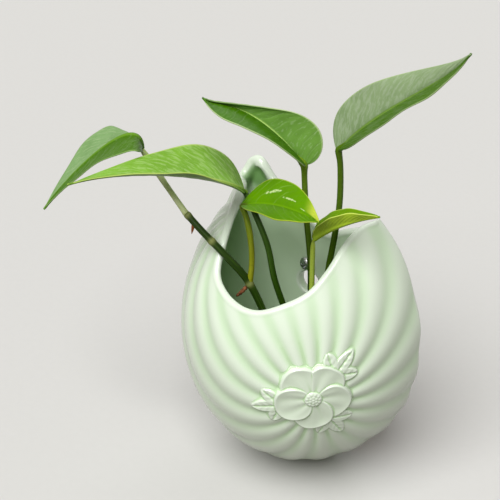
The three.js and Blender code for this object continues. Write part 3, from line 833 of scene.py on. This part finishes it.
# Screw and plug, turned about the screw's axis, which is the frame's Y axis
SHANK_RADIUS = 1.75
HEAD_RADIUS = 3.5
HEAD_SEAT = -7.2
HEAD_TOP = -9.8
HEAD_DOME = 2.1
DOME_STEPS = 12
HEAD_EDGE = 0.15
NECK_FLARE = 0.1
SCREW_END = 24.0
SCREW_POINT = 4.0
THREAD_PITCH = 1.8
THREAD_DEPTH = 0.42
THREAD_START = 1.0
THREAD_GROWN = 3.0
THREAD_STEP = 0.15
TIP_FLAT = 0.05
TIP_FALL = 0.94
RECESS = (3.8, 0.8, 1.2)
PLUG_RADIUS = 3.0
PLUG_FRONT = 0.3
PLUG_END = 27.3
PLUG_SLIT = (19.0, 1.0)
PLUG_CLEARANCE = 0.3
PLUG_BEVEL = 0.2
PLUG_MOUTH = 0.25
PLUG_COLLAR = 1.6
PLUG_TIP_WALL = 0.4
PLUG_TOOTH = 2.1
TOOTH_GAP = 0.1
TOOTH_DEPTH = 0.55
TOOTH_RISE = 1.7
TOOTH_FLAT = 0.25
TOOTH_SUNK = 0.02
TURN_SIDES = 72
SHARP_ANGLE = math.radians(35)


def station_radii(station, angles):
    """A station of zero or more is a radius, and one below zero is a place on the thread."""
    if station >= 0:
        return np.full(len(angles), station)
    y = -station
    phase = y / THREAD_PITCH - angles / (2 * math.pi)
    crest = np.abs(2 * (phase - np.floor(phase)) - 1) ** 0.7
    slim = 1 - TIP_FALL * smoothstep(y, SCREW_END - SCREW_POINT, SCREW_END)
    grown = smoothstep(y, THREAD_START, THREAD_GROWN)
    return slim * (SHANK_RADIUS - THREAD_DEPTH * grown * (1 - crest))


def turned(name, stations, material, closed=False):
    """A turned piece, with a ring of points at each station along Y."""
    angles = np.arange(TURN_SIDES) * 2 * math.pi / TURN_SIDES
    rings = []
    for station, y in stations:
        radii = station_radii(station, angles)
        rings.append(np.stack([radii * np.cos(angles), np.full(TURN_SIDES, y), radii * np.sin(angles)], -1))
    order = list(range(len(rings)))
    faces = ring_faces(order + order[:1] if closed else order, TURN_SIDES)
    made = mesh_object(name, np.concatenate(rings) * MM, faces, material)
    with edited(made.data) as bm:
        if not closed:
            bmesh.ops.holes_fill(bm, edges=[e for e in bm.edges if e.is_boundary], sides=0)
        bmesh.ops.recalc_face_normals(bm, faces=bm.faces)
    return made


def block(size, centre):
    mesh = bpy.data.meshes.new("cutter")
    with edited(mesh) as bm:
        bmesh.ops.create_cube(bm, size=1.0)
        bmesh.ops.scale(bm, vec=Vector(size) * MM, verts=bm.verts)
        bmesh.ops.translate(bm, vec=Vector(centre) * MM, verts=bm.verts)
    return placed("cutter", mesh)


def cut(made, cutters):
    for cutter in cutters:
        modifier = made.modifiers.new("cut", "BOOLEAN")
        modifier.operation = "DIFFERENCE"
        modifier.solver = "EXACT"
        modifier.object = cutter
    bpy.context.view_layer.update()
    shown = made.evaluated_get(bpy.context.evaluated_depsgraph_get())
    mesh = bpy.data.meshes.new_from_object(shown)
    made.modifiers.clear()
    made.data = mesh
    for cutter in cutters:
        bpy.data.objects.remove(cutter)


def soften(made):
    """Sharp creases stay sharp and the rest is smooth."""
    with edited(made.data) as bm:
        for edge in bm.edges:
            edge.smooth = len(edge.link_faces) == 2 and edge.calc_face_angle(0) < SHARP_ANGLE
        for face in bm.faces:
            face.smooth = True


def make_screw(material):
    stations = []
    for angle in np.linspace(0, math.pi / 2, DOME_STEPS + 1)[1:]:
        stations.append((HEAD_RADIUS * math.sin(angle), HEAD_TOP + HEAD_DOME * (1 - math.cos(angle))))
    stations += [(HEAD_RADIUS, HEAD_SEAT + HEAD_EDGE), (HEAD_RADIUS - HEAD_EDGE, HEAD_SEAT)]
    stations += [(SHANK_RADIUS + NECK_FLARE, HEAD_SEAT), (SHANK_RADIUS, HEAD_SEAT + 2 * NECK_FLARE)]
    count = int((SCREW_END - THREAD_START) / THREAD_STEP)
    stations += [(-y, y) for y in np.linspace(THREAD_START, SCREW_END - TIP_FLAT, count)]
    screw = turned("wall_screw_steel", stations, material)
    span, width, depth = RECESS
    sizes = [(span, 2 * depth, width), (width, 2 * depth, span)]
    cut(screw, [block(size, (0, HEAD_TOP, 0)) for size in sizes])
    soften(screw)
    dress(screw, "hanging_screw", "screw_steel", "wall_screw")


def make_plug(material):
    bore = SHANK_RADIUS + PLUG_CLEARANCE
    collar = PLUG_FRONT + PLUG_COLLAR
    tip = PLUG_END - SCREW_POINT
    crest = PLUG_RADIUS - TOOTH_SUNK
    stations = [
        (bore, PLUG_FRONT + PLUG_CLEARANCE), (bore + PLUG_MOUTH, PLUG_FRONT),
        (PLUG_RADIUS - PLUG_BEVEL, PLUG_FRONT), (PLUG_RADIUS, PLUG_FRONT + PLUG_BEVEL),
        (PLUG_RADIUS, collar),
    ]
    y = collar + TOOTH_GAP
    while y + PLUG_TOOTH < tip:
        stations.append((PLUG_RADIUS - TOOTH_DEPTH, y))
        stations += [(crest, y + TOOTH_RISE), (crest, y + TOOTH_RISE + TOOTH_FLAT)]
        y += PLUG_TOOTH
    stations.append((PLUG_RADIUS - PLUG_CLEARANCE, tip + PLUG_TIP_WALL))
    stations += [(bore + PLUG_TIP_WALL, PLUG_END), (bore, PLUG_END)]
    plug = turned("wall_plug_nylon", stations, material, closed=True)
    slit_length, slit_width = PLUG_SLIT
    slit_middle = PLUG_END + PLUG_CLEARANCE - slit_length / 2
    cut(plug, [block((4 * PLUG_RADIUS, slit_length, slit_width), (0, slit_middle, 0))])
    soften(plug)
    dress(plug, "wall_fixing", "plug_nylon", "wall_plug")


# Cuttings, measured from where the vine lies on the lip
REST_ON_LIP = (-0.32, -0.695)
REST_WAY = unit([4.1, -0.65, 1.95])
STEM = 3.4
PETIOLE = 2.8
ROOT = 1.6
GAP = 0.3
BLADE_SEAT = 0.75
FOLDED_SEAT = 1.3
ROOTED = 0.7

rest = top_of(REST_ON_LIP[0] * POT[0], REST_ON_LIP[1] * POT[1], WALL / 2)
rest = rest + REST_WAY * ((WALL + STEM) / 2 + 2 * GAP)

# Tones are of the far half, near half, midrib, margin and flecks; the paler half's tone holds a painted
# sheen and the margin's a painted highlight. A stroke is a pale mark, with its share of the length and of
# the half width, slope, reach and width.
PLAIN_LEAF = dict(ripple=1.0, narrow=0.0, strokes=())
LEAVES = dict(
    leaf_far_left=dict(
        midrib=[[-46.4, -3.5, 43.6], [-42, -8.2, 68], [-88.2, -12.8, 21.1], [-93.7, -23.6, 6.5]],
        far=[-21.5, 11, -3.8], near=[13.7, -14, 0.8], widest=0.26, roundness=0.55, flecked=0.5,
        tones=[(134, 172, 110), (72, 118, 0), (108, 152, 44), (150, 184, 110), (176, 200, 150)]),
    leaf_left=dict(
        midrib=[[0.6, 13.3, 27.7], [0.3, -7.4, 45.6], [-41.4, -28, 43.4], [-51.4, -48.7, 40.4]],
        far=[-14.6, 14, 8.2], near=[8.6, -14, 8.7], widest=0.22, roundness=0.5, flecked=0.55,
        tones=[(130, 180, 60), (110, 150, 40), (176, 200, 104), (190, 214, 110), (172, 206, 124)]),
    leaf_top_middle=dict(
        midrib=[[24.5, 25.3, 43.5], [-2, 16, 76.2], [-13.7, 6.6, 67.5], [-10.6, -2.7, 75.9]],
        far=[22.8, 14, -1.5], near=[17.1, -13, -2.6], widest=0.42, roundness=0.64, flecked=0.48,
        tones=[(118, 164, 70), (70, 122, 0), (190, 218, 128), (204, 224, 164), (158, 190, 128)],
        ripple=0.3, narrow=0.7),
    # Its pale grey-green far half is a painted reflection of the sky.
    leaf_top_right=dict(
        midrib=[[42, 25.3, 55.1], [66.1, 20, 84], [97, 14.6, 99.1], [108.6, 9.3, 116.6]],
        far=[-13.4, 4, 6.7], near=[11, -12, 3.7], widest=0.28, roundness=0.55, flecked=0.56,
        tones=[(160, 184, 136), (72, 114, 0), (116, 154, 50), (176, 200, 140), (188, 204, 172)]),
    leaf_centre=dict(
        midrib=[[1.9, 8.5, 23.6], [27.7, 3.2, 37.1], [49.4, -2.2, 33.2], [54.3, -7.5, 36.9]],
        far=[-4.4, 11, 7.4], near=[2.2, -10, -0.8], widest=0.33, roundness=0.8, flecked=0.34,
        tones=[(98, 152, 0), (92, 144, 0), (104, 154, 4), (196, 214, 70), (214, 234, 150)],
        flare=0.6, strokes=[(0.27, -0.5, -0.9, 0.08, 0.07), (0.45, -0.36, -0.2, 0.085, 0.045),
                            (0.62, -0.2, 0.2, 0.04, 0.03)]),
    leaf_small_right=dict(
        midrib=[[38.1, 13.3, 15.4], [43.4, 14.6, 21], [55, 16, 28.2], [69.6, 17.3, 33.8]],
        far=[-3, 6.5, 5.8], near=[1, -2.5, 7.2], widest=0.3, roundness=0.42, flecked=0.32,
        tones=[(112, 154, 8), (174, 202, 54), (160, 188, 44), (214, 232, 110), (200, 220, 110)]),
)

# Tones are of the foot, the top and the fine lines; a foot darker than the top is partly the stem's own
# colour and partly painted shade inside the pot. A scale is a bud or bract, with its share of the run,
# direction, length, radius and dryness.
PLAIN_STEM = dict(
    diameter=PETIOLE, knots=(), scales=(), girth=1.0, flare=0.0, turns=0.0, seat=BLADE_SEAT)
STEMS = dict(
    vine_stem=dict(
        diameter=STEM, foot=(29.3, 12.5), knots=(0.4, 0.668, 0.866, 0.985),
        scales=[(0.955, (0.1, -0.5, -1.0), 5.6, 0.9, 1.0), (0.69, (-0.8, -0.5, 0.5), 3.2, 1.1, 0.0)],
        run=[[20.3, 9.5, -43.9], [8.8, 5.3, -13.3], [0, 0, 0], [-12.1, -3, 11.1], [-21.4, -3.5, 18.3]],
        tones=[(28, 54, 2), (32, 54, 6), (66, 94, 26)]),
    petiole_far_left=dict(
        grows=4, knots=(0.02,), seat=FOLDED_SEAT, run=[[-34.8, -2.5, 30.2], [-42.3, -2.5, 38.1]],
        tones=[(208, 220, 158), (186, 206, 124), (236, 240, 204)]),
    petiole_left=dict(
        foot=(21.6, 24.3), run=[[25.6, 14.3, -36.9], [20.8, 7.8, -7.1], [16.6, 8.3, 7.9], [7, 10.8, 21.8]],
        tones=[(32, 58, 4), (40, 70, 6), (66, 96, 20)]),
    petiole_centre=dict(
        grows=1, knots=(0.03,), seat=FOLDED_SEAT, run=[[9.6, 6, -2.2], [8.6, 6.2, 10], [5, 8, 18.6]],
        tones=[(146, 148, 26), (70, 98, 8), (150, 154, 40)]),
    petiole_top_middle=dict(
        # Its dark foot, up to half the run, is painted shade inside the pot.
        foot=(25.6, 29.3), flare=0.4, turns=0.5,
        run=[[27.1, 29.3, -26.9], [26.3, 29.3, -4.8], [23.6, 29.3, 16.8], [23.5, 27.3, 35.1]],
        tones=[(26, 48, 6), (112, 146, 26), (104, 132, 36)]),
    petiole_small_right=dict(
        foot=(33.6, 21.3), run=[[36, 16.3, -11.2], [37.2, 14.3, 10.2]],
        tones=[(166, 188, 84), (176, 200, 66), (208, 222, 128)], girth=0.86),
    petiole_top_right=dict(
        foot=(35.6, 29.3), flare=0.2,
        run=[[34.9, 30.3, -17.4], [38.6, 30.3, 10], [41.2, 29.3, 27.8], [42.3, 26.8, 47.7]],
        tones=[(34, 62, 6), (80, 112, 10), (96, 124, 32)]),
    aerial_root=dict(
        diameter=ROOT, grows=1, run=[[5.2, 4.3, -18.3], [1.8, 4.5, -22]], girth=1.25),
)

BLADE_ROWS = 130
BLADE_COLUMNS = 52
BLADE_ENDS = (0.002, 0.985)
BLADE_CAMBER = 1.2
BLADE_THICK = 0.8
VEIN_TURNS = 42.0
VEIN_LEAN = 0.22
VEIN_BOW = 1.3
ROW_EVENNESS = 0.35
TIP_START = 0.95
TIP_NARROWING = 0.85
NARROW_SPAN = (0.55, 0.85)
PUFF = 0.16
PUFF_FROM_RIB = (0.05, 0.2)
PUFF_TO_MARGIN = (1.0, 0.7)
GROOVE_DEPTH = 0.25
GROOVE_WIDTH = 1.1
KEEL_DEPTH = 0.9
KEEL_WIDTH = 0.9
MARGIN_THINNING = 0.45
RIPPLES = ((9, 1.0, 0.7), (21, 2.3, 0.35))
RIPPLE_SHIFT = 1.7


def bezier(corners, s):
    a, b, c, d = np.asarray(corners, float)
    s = s[:, None]
    return (1 - s) ** 3 * a + 3 * s * (1 - s) ** 2 * b + 3 * s * s * (1 - s) * c + s**3 * d


def grid_normals(grid):
    down = np.gradient(grid, axis=0)
    right = np.gradient(grid, axis=1)
    return unit(np.cross(right, down) + 1e-12)


def blade_skins(shape, s, across, shift):
    """Upper and lower skin of a blade lofted from its midrib to both margins, with sunk veins."""
    rows = s[:, None]
    share = np.abs(across)
    widest, roundness = shape["widest"], shape["roundness"]
    fall = roundness * (1 - widest) / widest
    outline = (rows / widest) ** roundness * ((1 - rows) / (1 - widest)) ** fall
    outline = outline * (1 - TIP_NARROWING * smoothstep(rows, TIP_START, BLADE_ENDS[1]))
    far, near = np.array([shape["far"], shape["near"]], float)
    fold = unit(np.cross(far, near))
    edge = np.where(across[:, None] < 0, far, near)
    slim = 1 - shape["narrow"] * smoothstep(rows, *NARROW_SPAN) * (across < 0)
    grid = bezier(shape["midrib"], s)[:, None] + edge * (outline * share * slim)[..., None]
    grid = grid - fold * (BLADE_CAMBER * share * (1 - share))[:, None]
    width = outline * length(edge)
    puff = PUFF * np.abs(np.sin(VEIN_TURNS * (rows - VEIN_LEAN * share**VEIN_BOW)))
    puff = puff * smoothstep(share, *PUFF_FROM_RIB) * smoothstep(share, *PUFF_TO_MARGIN)
    groove = -GROOVE_DEPTH * bell(width * share / GROOVE_WIDTH) * smoothstep(rows, 1.0, 0.5)
    ripple = sum(size * np.sin(count * rows + phase * shift) for count, phase, size in RIPPLES)
    ripple = ripple * shape["ripple"] * share**3 * np.minimum(outline, 1)
    normals = grid_normals(grid)
    normals = normals * np.sign((normals * -fold).sum(-1).mean())
    grid = grid + normals * (puff + groove + ripple)[..., None]
    half = BLADE_THICK * (1 - MARGIN_THINNING * share**4) / 2
    keel = KEEL_DEPTH * bell(width * share / KEEL_WIDTH) * smoothstep(rows, 0.8, 0.0)
    return np.stack([grid + normals * half[:, None], grid - normals * (half + keel)[..., None]])


def sheet_faces(rows, columns):
    """Faces of a closed sheet: the upper skin, the lower one and the border between them."""
    count = rows * columns
    number = np.arange(count).reshape(rows, columns)
    corners = (number[:-1, :-1], number[:-1, 1:], number[1:, 1:], number[1:, :-1])
    upper = np.stack([corner.ravel() for corner in corners], -1)
    lower = count + upper[:, [0, 3, 2, 1]]
    skins = np.stack([upper, lower], 1).reshape(-1, 4)
    border = np.concatenate([number[0, :-1], number[:-1, -1], number[-1, :0:-1], number[:0:-1, 0]])
    after = np.roll(border, -1)
    sides = np.stack([border, count + border, count + after, after], -1)
    return np.concatenate([skins, sides])


def make_leaf(name, shape, shift):
    t = np.linspace(0, 1, BLADE_ROWS + 1)
    crowded = 0.5 - 0.5 * np.cos(math.pi * t)
    first, last = BLADE_ENDS
    s = first + (last - first) * (ROW_EVENNESS * t + (1 - ROW_EVENNESS) * crowded)
    across = np.linspace(-1, 1, BLADE_COLUMNS + 1)
    points = blade_skins(shape, s, across, shift).reshape(-1, 3)
    material = leaf_material(name + "_skin", shape)
    faces = sheet_faces(len(s), len(across))
    leaf = mesh_object(name + "_blade", to_scene(points + rest), faces, material)
    with edited(leaf.data) as bm:
        bmesh.ops.recalc_face_normals(bm, faces=bm.faces)
    point_values(leaf, "across", np.tile(across, 2 * len(s)))
    point_values(leaf, "along", np.tile(np.repeat(s, len(across)), 2))
    dress(leaf, "cuttings", "leaf", name)


def stem_run(piece):
    """The points that a stem follows, measured from the vine's rest."""
    points = [np.array(p, float) for p in piece["run"]]
    if "foot" in piece:
        x, y = piece["foot"]
        floor = top_of(rest[0] + x, rest[1] + y, WALL + piece["diameter"] / 2 + GAP)
        points.insert(0, np.array([x, y, -floor[2] - rest[2]]))
    if "grows" in piece:
        node = np.array(STEMS["vine_stem"]["run"][piece["grows"]], float)
        points.insert(0, node + unit(node - points[0]) * ROOTED * piece["diameter"])
    if "blade" in piece:
        base = np.array(piece["blade"]["midrib"][0], float)
        points.append(base + unit(points[-1] - base) * piece["seat"])
    return points


STEM_SIDES = 22
STEM_STEPS = 26
SCALE_RINGS = 9
STEM_ANGLES = np.arange(STEM_SIDES) * 2 * math.pi / STEM_SIDES
STEM_SIDEWAYS = np.array([0.3, 0.9, 0.2])
STEM_WOBBLE = 0.05
BLADE_LEAD = np.linspace(0.004, 0.06, 8)
KNOT_REACH = 1.3
KNOT_SWELL = 0.13
KNOT_TONE = 0.55
BUD_TONE = 0.5
FLARE_PLACE = 6.0
FLARE_REACH = 4.0
SLIM_SHARE = 0.6
SLIM_REACH = 7.0
ROOT_TAPER = 0.3
ROOT_LUMPS = 0.1
END_LEAST = 0.02
CHANNEL_DEPTH = 0.1
CHANNEL_WIDTH = 0.55


def tube_faces(first, end):
    """Faces of a closed tube over the rings from first up to end."""
    sides = np.arange(STEM_SIDES)
    faces = ring_faces(range(first, end), STEM_SIDES)
    faces.append(tuple(first * STEM_SIDES + sides[::-1]))
    faces.append(tuple((end - 1) * STEM_SIDES + sides))
    return faces


def ring_round(point, way, across, radii):
    """A ring of points round a line, starting on the side that across points to."""
    right = np.outer(radii * np.cos(STEM_ANGLES), across)
    up = np.outer(radii * np.sin(STEM_ANGLES), np.cross(way, across))
    return point + right + up


def scale_rings(base, way, reach, width):
    """Rings of a small pointed bud or dry bract on a stem."""
    across = unit(np.cross(way, STEM_SIDEWAYS))
    shares = np.linspace(0, 1, SCALE_RINGS)
    radii = width * np.maximum(np.cos(shares * math.pi / 2) ** 0.7, 0.03)
    places = base + np.outer(shares * reach, way)
    return [ring_round(place, way, across, radius) for place, radius in zip(places, radii)]


def stem_radii(piece, walked, knot, slot):
    """Radii along a stem: swollen at knots, slimmer under its blade and rounded at both ends."""
    t = walked / walked[-1]
    left = walked[-1] - walked
    radius = np.full(len(t), piece["girth"] * piece["diameter"] / 2)
    radius *= 1 + STEM_WOBBLE * np.sin(9 * t + 2)
    radius *= 1 + KNOT_SWELL * knot
    if "blade" in piece:
        radius *= 1 + piece["flare"] * bell((left - FLARE_PLACE) / FLARE_REACH)
        radius *= 1 - SLIM_SHARE * smoothstep(left, SLIM_REACH, 0.0)
    if slot == "root":
        radius *= 1 - ROOT_TAPER * smoothstep(t, 0.4, 1.0) + ROOT_LUMPS * np.sin(37 * t)
    ends = np.clip(np.minimum(walked, left) / (piece["diameter"] / 2), END_LEAST, 1)
    return radius * np.sqrt(ends * (2 - ends))


def make_stem(name, piece, material, slot):
    """A stem with swollen joints, a shallow channel and rounded ends."""
    points = stem_run(piece)
    line = spline(points, STEM_STEPS * (len(points) - 1) + 1)
    if "blade" in piece:
        line = np.concatenate([line, bezier(piece["blade"]["midrib"], BLADE_LEAD)])
    walked = np.concatenate([[0], np.cumsum(length(np.diff(line, axis=0)))])
    t = walked / walked[-1]
    off_knots = walked[:, None] - np.array(piece["knots"]) * walked[-1]
    knot = bell(off_knots / KNOT_REACH).max(-1, initial=0)
    along = unit(np.gradient(line, axis=0))
    across = unit(np.cross(along[0], STEM_SIDEWAYS))
    off_channel = np.minimum(STEM_ANGLES, 2 * math.pi - STEM_ANGLES)
    channel = 1 - CHANNEL_DEPTH * bell(off_channel / CHANNEL_WIDTH)
    rings = []
    for point, way, radius in zip(line, along, stem_radii(piece, walked, knot, slot)):
        across = unit(across - way * (across @ way))
        rings.append(ring_round(point, way, across, radius * channel))
    faces = tube_faces(0, len(rings))
    rows = [(place, KNOT_TONE * swell, 0.0) for place, swell in zip(t, knot)]
    for place, way, reach, width, dry in piece["scales"]:
        start = len(rings)
        base = line[np.abs(t - place).argmin()]
        rings += scale_rings(base, unit(way), reach, width)
        faces += tube_faces(start, len(rings))
        rows += [(place, BUD_TONE * (1 - dry), dry)] * SCALE_RINGS
    stem = mesh_object(name + "_stalk", to_scene(np.concatenate(rings) + rest), faces, material)
    for label, values in zip(("along", "knot", "dry"), zip(*rows)):
        point_values(stem, label, np.repeat(values, STEM_SIDES))
    point_values(stem, "around", np.tile(STEM_ANGLES / (2 * math.pi), len(rings)))
    dress(stem, "cuttings", slot, name)


def make_cuttings():
    for number, (name, given) in enumerate(LEAVES.items()):
        make_leaf(name, {**PLAIN_LEAF, **given}, RIPPLE_SHIFT * number)
    for name, given in STEMS.items():
        piece = {**PLAIN_STEM, **given}
        if name.startswith("petiole"):
            piece["blade"] = LEAVES[name.replace("petiole", "leaf")]
        if name == "aerial_root":
            make_stem(name, piece, plain_material(**BARK), "root")
        else:
            make_stem(name, piece, stem_material(name + "_skin", piece), "stem")


# Camera, light and floor. A lamp has its azimuth, elevation, spread and strength.
CAMERA_RIGHT = (0.8090, 0.5878, 0.0)
CAMERA_UP = (-0.2732, 0.3760, 0.8854)
CAMERA_BACK = (0.5204, -0.7163, 0.4648)
CAMERA_PLACE = (0.2779, -0.4365, 0.2753)
CAMERA_LENS = 86.4
FLOOR_Z = -0.1085
FLOOR_REACH = 8.0
KEY = (11.0, 54.0, 46.0, 3.6)
BACK_FILL = (-167.0, 35.0, 40.0, 0.5)
SKY_LIGHT = 0.14
SKY_SEEN = 0.6
SKY_COLOUR = (1.0, 0.97, 0.9, 1.0)


def make_camera():
    data = bpy.data.cameras.new("camera")
    data.lens = CAMERA_LENS
    made = placed("camera", data)
    turn = Matrix((CAMERA_RIGHT, CAMERA_UP, CAMERA_BACK)).transposed()
    made.matrix_world = Matrix.Translation(CAMERA_PLACE) @ turn.to_4x4()
    bpy.context.scene.camera = made


def sun(name, azimuth, elevation, spread, strength):
    """A soft distant lamp; azimuth 0 shines from the room onto the wall, and turns towards +X."""
    data = bpy.data.lights.new(name, "SUN")
    data.angle = math.radians(spread)
    data.energy = strength
    made = placed(name, data)
    turn, rise = math.radians(azimuth), math.radians(elevation)
    way = Vector((math.sin(turn) * math.cos(rise), -math.cos(turn) * math.cos(rise), math.sin(rise)))
    made.rotation_euler = (-way).to_track_quat("-Z", "Y").to_euler()


def seen_rays(n):
    """1 for rays that show the background to the camera, also by a reflection, and 0 for the rest."""
    path = n.node("ShaderNodeLightPath")
    mirrored = n.math("MAXIMUM", path.outputs["Is Glossy Ray"], path.outputs["Is Transmission Ray"])
    return n.math("MAXIMUM", path.outputs["Is Camera Ray"], mirrored)


def make_stage():
    n = Nodes("floor_paper")
    grain = n.noise(n.place(), 240.0, 3.0)
    seen = n.mix(grain, tone(208, 207, 204), tone(211, 210, 207))
    bounced = tone(122, 120, 112)
    n.shade(Base_Color=n.mix(seen_rays(n), bounced, seen), Roughness=0.9, Specular_IOR_Level=0.1)
    signs = ((-1, -1), (1, -1), (1, 1), (-1, 1))
    corners = [(x * FLOOR_REACH, y * FLOOR_REACH, FLOOR_Z) for x, y in signs]
    floor = mesh_object("floor", corners, [(0, 1, 2, 3)], n.owner)
    world = Nodes("studio", bpy.data.worlds, "Background")
    strength = world.span(seen_rays(world), 0.0, 1.0, SKY_LIGHT, SKY_SEEN)
    world.shade(Color=SKY_COLOUR, Strength=strength)
    bpy.context.scene.world = world.owner
    sun("key", *KEY)
    sun("back_fill", *BACK_FILL)


bpy.context.scene.view_settings.view_transform = "Standard"
make_camera()
make_stage()
make_pot(glaze_material())
make_screw(plain_material(**STEEL))
make_plug(plain_material(**NYLON))
make_cuttings()
